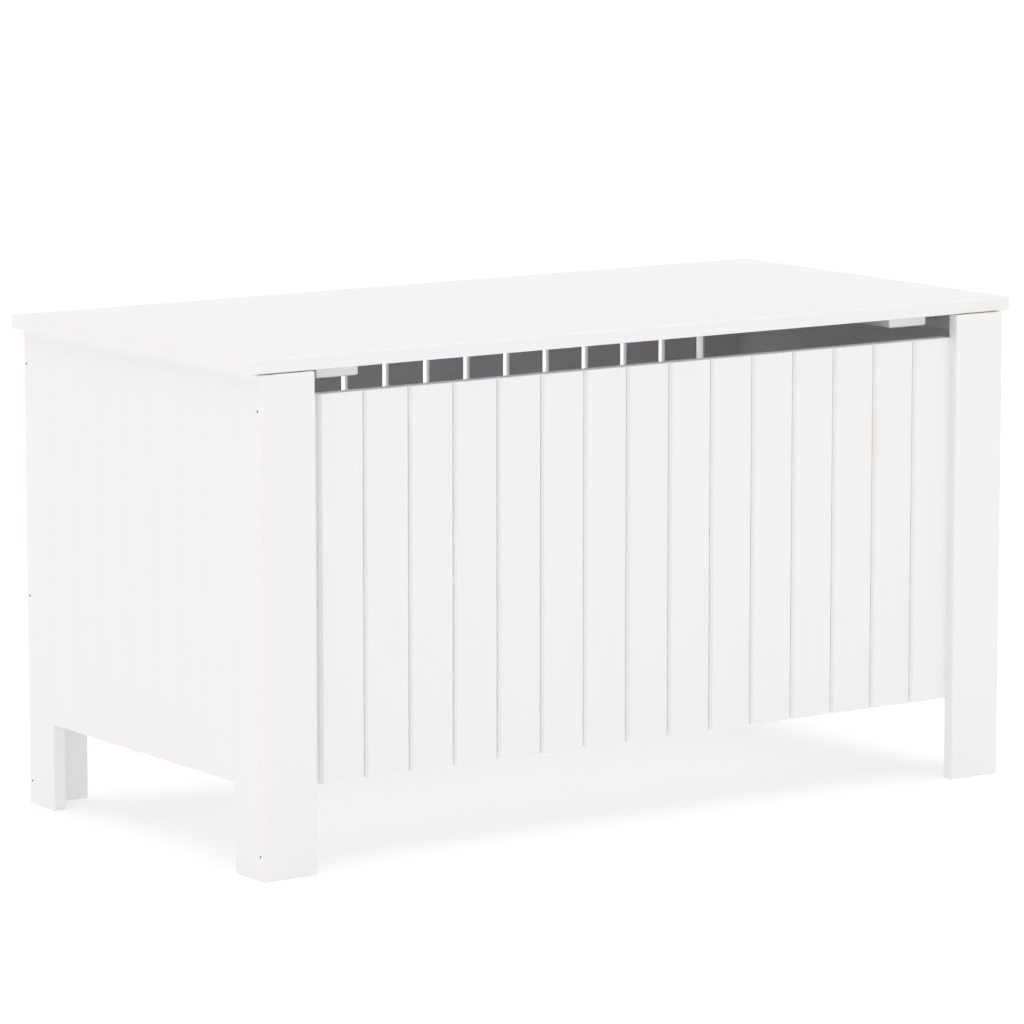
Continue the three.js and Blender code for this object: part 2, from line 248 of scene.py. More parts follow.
def link(name, data):
    """Puts a new object into the scene."""
    made = bpy.data.objects.new(name, data)
    bpy.context.scene.collection.objects.link(made)
    return made


def prism(name, corners, radii, low, high, end_radius, axis):
    """A board: the rounded outline pushed along its grain axis, with rounded ends."""
    levels = []
    for step in range(ARC_STEPS + 1):
        angle = math.pi / 2 * step / ARC_STEPS
        inward = end_radius * (1 - math.sin(angle))
        lift = end_radius * (1 - math.cos(angle))
        levels.append((inward, low + lift, math.sin(2 * angle)))
    levels += [(inward, high + low - along, worn) for inward, along, worn in levels[::-1]]
    mesh = bpy.data.meshes.new(name)
    bm = bmesh.new()
    arris = bm.verts.layers.float.new("arris")
    loops = []
    for inward, along, worn in levels:
        loop = []
        for point, round_share in section(corners, radii, inward):
            vert = bm.verts.new(place(axis, along, point.x, point.y))
            vert[arris] = max(round_share, worn)
            loop.append(vert)
        loops.append(loop)
    for lower, upper in zip(loops, loops[1:]):
        bridge(bm, lower, upper)
    bm.faces.new(loops[0][::-1])
    bm.faces.new(loops[-1])
    bmesh.ops.remove_doubles(bm, verts=bm.verts, dist=2 * TINY)
    bmesh.ops.recalc_face_normals(bm, faces=bm.faces)
    bm.to_mesh(mesh)
    bm.free()
    return link(name, mesh)


def bridge(bm, one, other):
    """A band of faces between two loops of the same number of points."""
    for index in range(len(one)):
        after = (index + 1) % len(one)
        bm.faces.new((one[index], one[after], other[after], other[index]))


def soften(piece):
    """Smooth shading over the rounded edges, with the flat faces kept flat."""
    piece.data.shade_smooth()
    piece.data.set_sharp_from_angle(angle=SHARP)
    weighted = piece.modifiers.new("flat faces stay flat", "WEIGHTED_NORMAL")
    weighted.keep_sharp = True
    weighted.weight = 100


def add_grain(piece, axis):
    """Stores where each point lies in its own plank: along the grain, across it, and deep.

    The heart of the tree lies beside the plank, so that growth rings run through it."""
    shift = Vector([rng.uniform(*span) for span in PLANK_SHIFTS])
    centre = sum((vert.co for vert in piece.data.vertices), Vector()) / len(piece.data.vertices)
    layer = piece.data.attributes.new("grain", "FLOAT_VECTOR", "POINT")
    for index, vert in enumerate(piece.data.vertices):
        x, y, z = vert.co - centre
        wood = {"X": (x, y, z), "Y": (y, x, z), "Z": (z, x, y)}[axis]
        layer.data[index].vector = Vector(wood) + shift
    tone = piece.data.attributes.new("tone", "FLOAT", "POINT")
    value = rng.uniform(-1, 1)
    for item in tone.data:
        item.value = value


def finish_piece(piece, body, slot, nodes=(), material=None):
    """Gives a piece the material of its slot, puts it on its body and hides the CAD nodes that it stands
    for.
    """
    piece.data.materials.append(MATERIALS[material or slot])
    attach(piece, body)
    if nodes:
        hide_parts(*nodes)
    return piece


def section_of(axis, low, high):
    """The two corners of a board's section, and its ends along the grain."""
    if axis == "X":
        return (low.y, low.z), (high.y, high.z), low.x, high.x
    if axis == "Y":
        return (low.x, low.z), (high.x, high.z), low.y, high.y
    return (low.x, low.y), (high.x, high.y), low.z, high.z


def rectangle(first, last):
    """Corners in turn: low low, high low, high high, low high."""
    return [(first[0], first[1]), (last[0], first[1]), (last[0], last[1]), (first[0], last[1])]


def board(name, node, axis, low, high, radii, end_radius, body, slot):
    """A planed board between two corners, standing for a CAD node."""
    first, last, start, end = section_of(axis, low, high)
    piece = prism(name, rectangle(first, last), radii, start, end, end_radius, axis)
    add_grain(piece, axis)
    soften(piece)
    return finish_piece(piece, body, slot, [node])


# ------------------------------------------------------------------ shader helpers
def shader(tree, kind, sockets=None, **settings):
    """Adds a shader node. A socket's value is a number, a colour or another node's output."""
    made = tree.nodes.new("ShaderNode" + kind)
    for name, value in settings.items():
        setattr(made, name, value)
    for name, value in (sockets or {}).items():
        connect(tree, value, made.inputs[name])
    return made


def connect(tree, value, socket):
    if isinstance(value, bpy.types.NodeSocket):
        tree.links.new(value, socket)
    else:
        socket.default_value = value


def maths(tree, operation, first, second=0.0):
    return shader(tree, "Math", {0: first, 1: second}, operation=operation).outputs[0]


def weigh(tree, terms, base=0.0):
    """A base value, plus each term's value times its weight."""
    total = base
    for value, weight in terms:
        total = maths(tree, "ADD", maths(tree, "MULTIPLY", value, weight), total)
    return total


def stretched(tree, vector, rates):
    """A vector times a rate for each of its axes."""
    return shader(tree, "VectorMath", {0: vector, 1: rates}, operation="MULTIPLY").outputs[0]


def noise(tree, vector, detail, scale=1.0):
    return shader(tree, "TexNoise", {"Vector": vector, "Scale": scale, "Detail": detail}).outputs["Fac"]


def remap(tree, value, span, to_low, to_high):
    """A smooth step over a span of values, from one result to the other."""
    sockets = {"Value": value, "From Min": span[0], "From Max": span[1]}
    sockets |= {"To Min": to_low, "To Max": to_high}
    return shader(tree, "MapRange", sockets, interpolation_type="SMOOTHSTEP").outputs["Result"]


def blend_colours(tree, share, first, second):
    mixed = shader(tree, "Mix", {"Factor": share}, data_type="RGBA")
    first_colour, second_colour = mixed.inputs[6], mixed.inputs[7]
    connect(tree, first, first_colour)
    connect(tree, second, second_colour)
    return mixed.outputs[2]


def new_material(name):
    material = bpy.data.materials.new(name)
    material.use_nodes = True
    tree = material.node_tree
    return material, tree, tree.nodes["Principled BSDF"]


def add_relief(tree, surface, height, strength, distance):
    bump = shader(tree, "Bump", {"Height": height, "Strength": strength, "Distance": distance})
    connect(tree, bump.outputs["Normal"], surface.inputs["Normal"])


# ------------------------------------------------------------------ materials
def growth_rings(tree, grain, waves):
    """Rings about the heart of the tree, bent by slow waves along the plank."""
    bend = noise(tree, waves, detail=2.0)
    parts = shader(tree, "SeparateXYZ", {0: grain}).outputs
    across = maths(tree, "POWER", parts[1], 2.0)
    deep = maths(tree, "POWER", parts[2], 2.0)
    reach = maths(tree, "SQRT", maths(tree, "ADD", across, deep))
    bent = maths(tree, "ADD", reach, maths(tree, "MULTIPLY", bend, RING_BEND))
    rings = maths(tree, "SINE", maths(tree, "MULTIPLY", bent, 2 * math.pi / RING_SPACING))
    return remap(tree, rings, RING_EDGE, 0.0, 1.0)


def knots_in(tree, grain):
    """Round knots, in a few places."""
    spread = stretched(tree, grain, KNOT_RATES)
    cells = shader(tree, "TexVoronoi", {"Vector": spread, "Scale": 1.0}, feature="F1").outputs
    near = remap(tree, cells["Distance"], KNOT_EDGE, 1.0, 0.0)
    lot = shader(tree, "SeparateColor", {0: cells["Color"]}).outputs[0]
    return maths(tree, "MULTIPLY", near, remap(tree, lot, KNOT_CHOICE, 0.0, 1.0))


def painted_wood(name, paint, shade, bare, roughness, grain_depth):
    """Satin paint over pine: growth rings, fibres and knots show through it faintly."""
    material, tree, surface = new_material(name)
    grain = shader(tree, "Attribute", attribute_name="grain").outputs["Vector"]
    tone = shader(tree, "Attribute", attribute_name="tone").outputs["Fac"]
    arris = shader(tree, "Attribute", attribute_name="arris").outputs["Fac"]

    waves = stretched(tree, grain, WAVE_RATES)
    rings = growth_rings(tree, grain, waves)
    fibres = noise(tree, stretched(tree, grain, FIBRE_RATES), detail=3.0)
    knots = knots_in(tree, grain)

    # the film of paint: a slight orange peel, thinner on the rounded edges
    film = noise(tree, grain, detail=2.0, scale=FILM_SCALE)
    patches = noise(tree, waves, detail=1.0, scale=PATCH_SCALE)
    thin = maths(tree, "MULTIPLY", arris, remap(tree, fibres, WORN_FIBRES, LEAST_WEAR, 1.0))

    layers = {"rings": rings, "fibres": fibres, "knots": knots, "patches": patches}
    layers |= {"tone": tone, "film": film}
    through = weigh(tree, [(layers[layer], weight) for layer, weight in SHOWN.items()])
    colour = blend_colours(tree, through, paint, shade)
    colour = blend_colours(tree, maths(tree, "MULTIPLY", knots, KNOTS_SHOWN), colour, bare)
    colour = blend_colours(tree, maths(tree, "MULTIPLY", thin, ARRIS_SHOWN), colour, bare)
    connect(tree, colour, surface.inputs["Base Color"])

    smoothest = roughness - FIBRE_ROUGHNESS / 2
    rough = weigh(tree, [(fibres, FIBRE_ROUGHNESS), (thin, -ARRIS_POLISH)], smoothest)
    connect(tree, rough, surface.inputs["Roughness"])

    relief = weigh(tree, [(layers[layer], weight) for layer, weight in RELIEF.items()])
    add_relief(tree, surface, relief, RELIEF_STRENGTH, grain_depth)
    surface.inputs["Coat Weight"].default_value = PAINT_COAT
    surface.inputs["Coat Roughness"].default_value = PAINT_COAT_ROUGHNESS
    return material


def plated_steel(name, colour, dull, roughness):
    """Zinc plate: a brushed, slightly cloudy metal."""
    material, tree, surface = new_material(name)
    place_at = shader(tree, "TexCoord").outputs["Object"]
    brushed = noise(tree, stretched(tree, place_at, BRUSHED_RATES), detail=2.0)
    clouds = noise(tree, place_at, detail=4.0, scale=CLOUD_SCALE)
    mixed = blend_colours(tree, remap(tree, clouds, CLOUD_EDGE, 0.0, 1.0), colour, dull)
    connect(tree, mixed, surface.inputs["Base Color"])
    connect(tree, weigh(tree, [(clouds, CLOUD_ROUGHNESS)], roughness), surface.inputs["Roughness"])
    add_relief(tree, surface, brushed, BRUSHED_STRENGTH, BRUSHED_DEPTH)
    surface.inputs["Metallic"].default_value = 1.0
    return material


def soft_rubber(name, colour, dusty):
    """Moulded translucent rubber with a fine matt grain and a little dust."""
    material, tree, surface = new_material(name)
    place_at = shader(tree, "TexCoord").outputs["Object"]
    grain = noise(tree, place_at, detail=2.0, scale=RUBBER_GRAIN_SCALE)
    dust = noise(tree, place_at, detail=3.0, scale=DUST_SCALE)
    mixed = blend_colours(tree, remap(tree, dust, DUST_EDGE, 0.0, DUST_SHOWN), colour, dusty)
    connect(tree, mixed, surface.inputs["Base Color"])
    connect(tree, weigh(tree, [(dust, DUST_ROUGHNESS)], RUBBER_ROUGHNESS), surface.inputs["Roughness"])
    add_relief(tree, surface, grain, RUBBER_GRAIN_STRENGTH, RUBBER_GRAIN_DEPTH)
    surface.inputs["Subsurface Weight"].default_value = RUBBER_SUBSURFACE
    surface.inputs["Subsurface Scale"].default_value = RUBBER_SUBSURFACE_DEPTH
    return material


def make_materials():
    bare = (0.80, 0.66, 0.46, 1)  # the pine itself
    return {
        "body_paint": painted_wood(
            "body paint", paint=(0.850, 0.846, 0.852, 1), shade=(0.833, 0.829, 0.834, 1), bare=bare,
            roughness=0.48, grain_depth=0.12 * MM),
        "lid_paint": painted_wood(
            "lid paint", paint=(0.845, 0.845, 0.846, 1), shade=(0.832, 0.832, 0.831, 1), bare=bare,
            roughness=0.42, grain_depth=0.10 * MM),
        # Inside the box the white is painted lighter than outside: painted light that lifts the shade
        # inside the box.
        "inner_paint": painted_wood(
            "inner paint lightened for shade", paint=(0.915, 0.905, 0.92, 1), shade=(0.895, 0.882, 0.89, 1), bare=bare,
            roughness=0.6, grain_depth=0.18 * MM),
        "bottom_paint": painted_wood(
            "bottom paint", paint=(0.90, 0.89, 0.90, 1), shade=(0.88, 0.87, 0.875, 1), bare=bare,
            roughness=0.6, grain_depth=0.12 * MM),
        "hinge_steel": plated_steel(
            "hinge steel", colour=(0.62, 0.63, 0.64, 1), dull=(0.50, 0.50, 0.49, 1), roughness=0.24),
        "nail_steel": plated_steel(
            "nail steel", colour=(0.10, 0.095, 0.09, 1), dull=(0.05, 0.045, 0.04, 1), roughness=0.45),
        "bumper_rubber": soft_rubber(
            "bumper rubber", colour=(0.80, 0.80, 0.78, 1), dusty=(0.70, 0.69, 0.66, 1)),
    }


MATERIALS = make_materials()


# ------------------------------------------------------------------ legs
def legs():
    """Four L-shaped legs. The paint closes the joint between each leg's two boards."""
    for front_back, outward in (("front", -1), ("back", 1)):
        for left_right, side in (("left", -1), ("right", 1)):
            leg(f"leg_{front_back}_{left_right}", side, outward)


def leg(label, side, outward):
    side_node = f"{label}_side_board"
    face_node = f"{label}_face_board"
    side_low, side_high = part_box(side_node)
    face_low, face_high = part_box(face_node)
    if side > 0:
        face_high.x = side_low.x
    else:
        face_low.x = side_high.x

    def corner_radii(radius_at):
        """Radii for the corners low low, high low, high high, low high."""
        return [radius_at(x, y) for x, y in ((-1, -1), (1, -1), (1, 1), (-1, 1))]

    def side_radius(x, y):
        if y != outward:
            return FLUSH_ARRIS if x == side else FINE_ARRIS
        return ARRIS if x == side else 0

    def face_radius(x, _):
        return 0 if x == side else ARRIS

    board(f"{side_node}_painted", side_node, "Z", side_low, side_high,
          corner_radii(side_radius), END_ARRIS, "box", "body_paint")
    board(f"{face_node}_painted", face_node, "Z", face_low, face_high,
          corner_radii(face_radius), END_ARRIS, "box", "body_paint")


# ------------------------------------------------------------------ front panel
def front_board(index, width, is_last):
    """A tongue and groove board: tongue to the left, groove to the right, and chamfered mouths.

    The last one is cut square and meets the leg."""
    node = f"front_board_{index:02d}"
    low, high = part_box(node)
    tongue_length, tongue_thickness = TONGUE
    right = high.x
    left = low.x + tongue_length if is_last else right - width
    tongue_front = (low.y + high.y - tongue_thickness) / 2
    tongue_back = tongue_front + tongue_thickness
    wide, deep = GROOVE_MOUTH
    corners = [(left, low.y + deep), (left + wide, low.y)]
    if is_last:
        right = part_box("leg_front_right_face_board")[0].x
        corners += [(right, low.y)]
        radii = [MOUTH_ARRIS, MOUTH_ARRIS, 0]
    else:
        corners += [(right - wide, low.y), (right, low.y + deep)]
        radii = [MOUTH_ARRIS] * 4
        root = right - tongue_length
        groove_front = tongue_front - TONGUE_CLEARANCE
        groove_back = tongue_back + TONGUE_CLEARANCE
        corners += [(right, groove_front), (root, groove_front), (root, groove_back), (right, groove_back)]
    corners += [(right, high.y), (left, high.y)]
    corners += [(left, tongue_back), (low.x, tongue_back), (low.x, tongue_front), (left, tongue_front)]
    radii += [0] * (len(corners) - len(radii))
    piece = prism(f"{node}_painted", corners, radii, low.z, high.z, PANEL_END_ARRIS, "Z")
    add_grain(piece, "Z")
    soften(piece)
    finish_piece(piece, "box", "body_paint", [node])


def front_panel():
    low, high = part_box("front_board_02")
    width = high.x - low.x - TONGUE[0]
    for index in range(1, PANEL_BOARDS + 1):
        front_board(index, width, index == PANEL_BOARDS)


# ------------------------------------------------------------------ back and side panels
def back_slats():
    for index in range(1, PANEL_BOARDS + 1):
        node = f"back_slat_{index:02d}"
        low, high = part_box(node)
        board(f"{node}_painted", node, "Z", low, high, [FINE_ARRIS] * 4, FINE_ARRIS, "box", "inner_paint")


def side_panels():
    """Seven boards a side, glued flush between the legs."""
    for label in ("left", "right"):
        node = f"side_panel_{label}"
        low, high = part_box(node)
        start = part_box(f"leg_front_{label}_side_board")[1].y
        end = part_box(f"leg_back_{label}_side_board")[0].y
        width = (end - start) / SIDE_BOARDS
        for index in range(SIDE_BOARDS):
            board_low = Vector((low.x, start + index * width, low.z))
            board_high = Vector((high.x, start + (index + 1) * width, high.z))
            board(f"{node}_board_{index + 1}", node, "Z", board_low, board_high,
                  [FLUSH_ARRIS] * 4, FINE_ARRIS, "box", "body_paint")


# ------------------------------------------------------------------ rails and bottom
def rails():
    for node, axis in (
        ("front_top_rail", "X"), ("front_bottom_rail", "X"), ("back_bottom_rail", "X"),
        ("side_top_rail_left", "Y"), ("side_top_rail_right", "Y"),
        ("side_bottom_rail_left", "Y"), ("side_bottom_rail_right", "Y"),
    ):
        rail(node, axis)
    cut_hinge_notches(rail("back_top_rail", "X"))


def rail(node, axis):
    low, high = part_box(node)
    radii = [FINE_ARRIS] * 4
    return board(f"{node}_painted", node, axis, low, high, radii, FINE_ARRIS, "box", "inner_paint")


def bottom():
    low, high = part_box("bottom_panel")
    board("bottom_panel_painted", "bottom_panel", "X", low, high, [BOTTOM_ARRIS] * 4, BOTTOM_ARRIS,
          "box", "bottom_paint")


# ------------------------------------------------------------------ lid
def lid():
    low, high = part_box("lid_board")
    radii = [LID_CORNER] * 4
    piece = prism("lid_board_painted", rectangle(low, high), radii, low.z, high.z, END_ARRIS, "Z")
    add_grain(piece, "X")
    soften(piece)
    finish_piece(piece, "lid", "lid_paint", ["lid_board"])
    cut_hinge_notches(piece)
    for label in ("left", "right"):
        node = f"lid_batten_{label}"
        batten_low, batten_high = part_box(node)
        batten_high.z = low.z
        board(f"{node}_painted", node, "Y", batten_low, batten_high, [ARRIS, ARRIS, 0, 0], END_ARRIS,
              "lid", "lid_paint")


def cut_hinge_notches(piece):
    """Takes the room for the hinges' knuckles out of the lid or the back rail."""
    for label in ("left", "right"):
        pin_low, pin_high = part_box(f"hinge_{label}_pin")
        centre = (pin_low + pin_high) / 2
        half_length = (pin_high.x - pin_low.x) / 2 + NOTCH_END_ROOM
        bm = bmesh.new()
        bmesh.ops.create_cube(bm, size=1)
        for vert in bm.verts:
            x = centre.x + 2 * half_length * vert.co.x
            y = centre.y + (NOTCH_BEYOND if vert.co.y > 0 else -KNUCKLE_REACH)
            z = centre.z + 2 * KNUCKLE_REACH * vert.co.z
            vert.co = (x, y, z)
        mesh = bpy.data.meshes.new("notch")
        bm.to_mesh(mesh)
        bm.free()
        apply_cut(piece, link("notch", mesh))


def apply_cut(piece, cutter):
    """Cuts the cutter's shape out of the piece, and removes the cutter."""
    cut = piece.modifiers.new("cut", "BOOLEAN")
    cut.object = cutter
    cut.operation = "DIFFERENCE"
    cut.solver = "EXACT"
    soft = piece.modifiers["flat faces stay flat"]
    soft.show_viewport = False
    bpy.context.view_layer.update()
    graph = bpy.context.evaluated_depsgraph_get()
    result = bpy.data.meshes.new_from_object(piece.evaluated_get(graph))
    piece.modifiers.remove(cut)
    piece.data = result
    soft.show_viewport = True
    bpy.data.objects.remove(cutter)


# ------------------------------------------------------------------ turned parts and fasteners
def across_of(axis):
    """Two directions that stand square to an axis and to each other."""
    first = axis.orthogonal().normalized()
    return first, axis.cross(first)


def turned(bm, centre, axis, profile, sides=ROUND_SIDES):
    """Turns a profile of (radius, height) points about an axis. It closes on the axis or on itself."""
    first, second = across_of(axis)
    rings = []
    for radius, height in profile:
        base = centre + axis * height
        if radius == 0:
            rings.append([bm.verts.new(base)])
            continue
        ring = []
        for index in range(sides):
            angle = 2 * math.pi * index / sides
            spoke = (first * math.cos(angle) + second * math.sin(angle)) * radius
            ring.append(bm.verts.new(base + spoke))
        rings.append(ring)
    pairs = list(zip(rings, rings[1:]))
    if profile[0][0] != 0:
        pairs.append((rings[-1], rings[0]))
    for one, other in pairs:
        for index in range(sides):
            after = (index + 1) % sides
            corners = [one[index % len(one)], one[after % len(one)],
                       other[after % len(other)], other[index % len(other)]]
            distinct = list(dict.fromkeys(corners))
            bm.faces.new(distinct)


def add_piece(name, bm, body, slot, material=None, nodes=()):
    """Makes a piece of what was built in bm."""
    bmesh.ops.recalc_face_normals(bm, faces=bm.faces)
    mesh = bpy.data.meshes.new(name)
    bm.to_mesh(mesh)
    bm.free()
    piece = link(name, mesh)
    soften(piece)
    return finish_piece(piece, body, slot, nodes, material)


def nail_heads(name, places, radius):
    """Flat nail heads in the box, each at a point of a face and along its outward normal."""
    profile = [(share * radius, rise * NAIL_PROUD) for share, rise in NAIL_CROWN]
    profile += [(radius, -radius), (0, -radius)]
    bm = bmesh.new()
    for point, normal in places:
        turned(bm, Vector(point), Vector(normal), profile, sides=NAIL_SIDES)
    add_piece(name, bm, "box", "hinge_steel", "nail_steel")


def circle(radius):
    """Points evenly round a circle."""
    angles = [2 * math.pi * index / ROUND_SIDES for index in range(ROUND_SIDES)]
    return [(radius * math.cos(angle), radius * math.sin(angle)) for angle in angles]


def cross(length, width):
    """The outline of a cross, from half an arm's length and half its width."""
    quarter = [(length, -width), (length, width), (width, width)]
    outline = []
    for turn in range(4):
        cosine = round(math.cos(turn * math.pi / 2))
        sine = round(math.sin(turn * math.pi / 2))
        outline += [(cosine * x - sine * y, sine * x + cosine * y) for x, y in quarter]
    return outline


def screw_head(bm, point, normal, radius):
    """A countersunk head with a cross recess, nearly flush with the face around it."""
    first, second = across_of(normal)
    top = point + normal * SCREW_PROUD

    def loop(outline, depth):
        below = -depth * radius
        return [bm.verts.new(top + first * x + second * y + normal * below) for x, y in outline]

    rim = loop(circle(RIM * radius), 0)
    edge = loop(circle(radius), RIM_DEPTH)
    shank = loop(circle(SHANK * radius), SHANK_DEPTH)
    mouth = loop(cross(*(share * radius for share in CROSS_MOUTH)), 0)
    recess = loop(cross(*(share * radius for share in CROSS_FLOOR)), CROSS_DEPTH)
    bridge(bm, rim, edge)
    bridge(bm, edge, shank)
    bridge(bm, mouth, recess)
    bm.faces.new(shank)
    bm.faces.new(recess)
    face_edges = []
    for ring in (rim, mouth):
        for index, vert in enumerate(ring):
            after = ring[(index + 1) % len(ring)]
            face_edges.append(bm.edges.get((vert, after)))
    bmesh.ops.triangle_fill(bm, use_beauty=True, edges=face_edges)


def screw_heads(name, places, radius, body):
    bm = bmesh.new()
    for point, normal in places:
        screw_head(bm, Vector(point), Vector(normal), radius)
    add_piece(name, bm, body, "hinge_steel")


def spaced(start, end, count):
    """Evenly spaced values, from start to end."""
    return [start + (end - start) * index / (count - 1) for index in range(count)]


# ------------------------------------------------------------------ hinges
def hinge_leaf(label, part, first_knuckle, above):
    """A stamped plate with its rolled knuckles. The lid's leaf lies above the pin's axis."""
    node = f"hinge_{label}_{part}"
    body = "lid" if above > 0 else "box"
    pin_low, pin_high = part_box(f"hinge_{label}_pin")
    axis = (pin_low + pin_high) / 2
    low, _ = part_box(node)
    near = axis.z + above * LEAF_OFFSET
    far = near + above * LEAF_THICKNESS
    plate_back = axis.y - KNUCKLE_REACH
    corners = rectangle((pin_low.x, low.y), (pin_high.x, plate_back))
    radii = [LEAF_CORNER, LEAF_CORNER, 0, 0]
    plate = prism("plate", corners, radii, min(near, far), max(near, far), LEAF_ARRIS, "Z")
    bm = bmesh.new()
    bm.from_mesh(plate.data)
    bpy.data.objects.remove(plate)
    pitch = (pin_high.x - pin_low.x) / KNUCKLES
    for index in range(first_knuckle, KNUCKLES, 2):
        start = pin_low.x + index * pitch + KNUCKLE_GAP / 2
        end = start + pitch - KNUCKLE_GAP
        knuckle(bm, Vector((start, axis.y, axis.z)), end - start)
        arm = bmesh.ops.create_cube(bm, size=1)["verts"]
        for vert in arm:
            vert.co.x = end if vert.co.x > 0 else start
            vert.co.y = axis.y - KNUCKLE_BORE if vert.co.y > 0 else plate_back - ARM_LAP
            vert.co.z = far if (vert.co.z > 0) == (above > 0) else near
    add_piece(f"{node}_plated", bm, body, "hinge_steel", nodes=[node])

    middle = (low.y + plate_back) / 2 - LEAF_SCREW_SHIFT
    along = spaced(axis.x - LEAF_SCREW_REACH, axis.x + LEAF_SCREW_REACH, LEAF_SCREWS)
    places = [((x, middle, near), (0, 0, -above)) for x in along]
    screw_heads(f"{node}_screws", places, LEAF_SCREW_HEAD, body)


def knuckle(bm, start, length):
    """A tube round the pin, with eased outer edges."""
    wrap = [(KNUCKLE - KNUCKLE_EDGE, 0), (KNUCKLE, KNUCKLE_EDGE), (KNUCKLE, length - KNUCKLE_EDGE),
            (KNUCKLE - KNUCKLE_EDGE, length), (KNUCKLE_BORE, length), (KNUCKLE_BORE, 0)]
    turned(bm, start, Vector((1, 0, 0)), wrap)


def hinge_pin(label):
    node = f"hinge_{label}_pin"
    low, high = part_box(node)
    radius = (high.z - low.z) / 2
    length = high.x - low.x
    near_end = [(share * radius, rise * PIN_DOME) for share, rise in PIN_END]
    far_end = [(share * radius, length - rise * PIN_DOME) for share, rise in PIN_END[::-1]]
    bm = bmesh.new()
    start = Vector((low.x, (low.y + high.y) / 2, (low.z + high.z) / 2))
    turned(bm, start, Vector((1, 0, 0)), near_end + far_end)
    add_piece(f"{node}_plated", bm, "box", "hinge_steel", nodes=[node])


def hinges():
    for label in ("left", "right"):
        hinge_leaf(label, "lid_leaf", 1, 1)
        hinge_leaf(label, "box_leaf", 0, -1)
        hinge_pin(label)


# ------------------------------------------------------------------ nails, screws and bumpers
def leg_nails():
    """Nails through each leg's side board into the edge of its face board."""
    for front_back, outward in (("front", -1), ("back", 1)):
        for label, side in (("left", -1), ("right", 1)):
            low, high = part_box(f"leg_{front_back}_{label}_side_board")
            x = low.x if side < 0 else high.x
            y = low.y + LEG_NAIL_INSET if outward < 0 else high.y - LEG_NAIL_INSET
            places = [((x, y, height), (side, 0, 0)) for height in LEG_NAIL_HEIGHTS[front_back]]
            nail_heads(f"leg_{front_back}_{label}_nails", places, NAIL_RADIUS)


def middle_height(node):
    low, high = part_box(node)
    return (low.z + high.z) / 2


def front_panel_nails():
    """Two brads in each front board, through the rails from inside."""
    rail_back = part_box("front_top_rail")[1].y
    heights = [middle_height("front_top_rail"), middle_height("front_bottom_rail")]
    places = []
    for index in range(1, PANEL_BOARDS + 1):
        low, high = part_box(f"front_board_{index:02d}")
        x = (low.x + TONGUE[0] + high.x) / 2
        places += [((x, rail_back, z), (0, 1, 0)) for z in heights]
    nail_heads("front_panel_nails", places, BRAD_RADIUS)


def back_slat_nails():
    """Two brads at each end of a slat: from inside at the top, from behind at the bottom."""
    top = middle_height("back_top_rail")
    bottom_height = middle_height("back_bottom_rail")
    inside, outside = [], []
    for index in range(1, PANEL_BOARDS + 1):
        low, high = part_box(f"back_slat_{index:02d}")
        centre = (low.x + high.x) / 2
        for x in (centre - SLAT_BRAD_OFFSET, centre + SLAT_BRAD_OFFSET):
            inside.append(((x, low.y, top), (0, -1, 0)))
            outside.append(((x, high.y, bottom_height), (0, 1, 0)))
    nail_heads("back_slat_top_nails", inside, BRAD_RADIUS)
    nail_heads("back_slat_bottom_nails", outside, BRAD_RADIUS)


def side_rail_nails():
    """A brad through each side rail into each board of the side panel."""
    for label, side in (("left", -1), ("right", 1)):
        panel_low, panel_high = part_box(f"side_panel_{label}")
        step = (panel_high.y - panel_low.y) / SIDE_BOARDS
        places = []
        for node in (f"side_top_rail_{label}", f"side_bottom_rail_{label}"):
            low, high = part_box(node)
            x = high.x if side < 0 else low.x
            for index in range(SIDE_BOARDS):
                y = panel_low.y + (index + 0.5) * step
                places.append(((x, y, middle_height(node)), (-side, 0, 0)))
        nail_heads(f"side_rail_nails_{label}", places, BRAD_RADIUS)


def batten_screws():
    for label in ("left", "right"):
        low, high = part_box(f"lid_batten_{label}")
        x = (low.x + high.x) / 2
        along = spaced(low.y + BATTEN_SCREW_INSET, high.y - BATTEN_SCREW_INSET, BATTEN_SCREWS)
        places = [((x, y, low.z), (0, 0, -1)) for y in along]
        screw_heads(f"lid_batten_{label}_screws", places, BATTEN_SCREW_HEAD, "lid")


def bumpers():
    """Low domed pads on the tops of the front legs."""
    for label in ("left", "right"):
        node = f"lid_bumper_{label}"
        low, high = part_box(node)
        radius, height = (high.x - low.x) / 2, high.z - low.z
        shoulder = BUMPER_SHOULDER * radius
        profile = [(0, 0), (BUMPER_SEAT * radius, 0), (radius, BUMPER_WIDEST_HEIGHT * height),
                   (shoulder, BUMPER_SHOULDER_HEIGHT * height)]
        for step in range(1, ARC_STEPS + 1):
            angle = math.pi / 2 * step / ARC_STEPS
            rise = BUMPER_SHOULDER_HEIGHT + (1 - BUMPER_SHOULDER_HEIGHT) * math.sin(angle)
            profile.append((shoulder - BUMPER_DOME * radius * (1 - math.cos(angle)), height * rise))
        profile.append((0, height))
        bm = bmesh.new()
        seat = Vector(((low.x + high.x) / 2, (low.y + high.y) / 2, low.z))
        turned(bm, seat, Vector((0, 0, 1)), profile)
        add_piece(f"{node}_moulded", bm, "box", "bumper_rubber", nodes=[node])


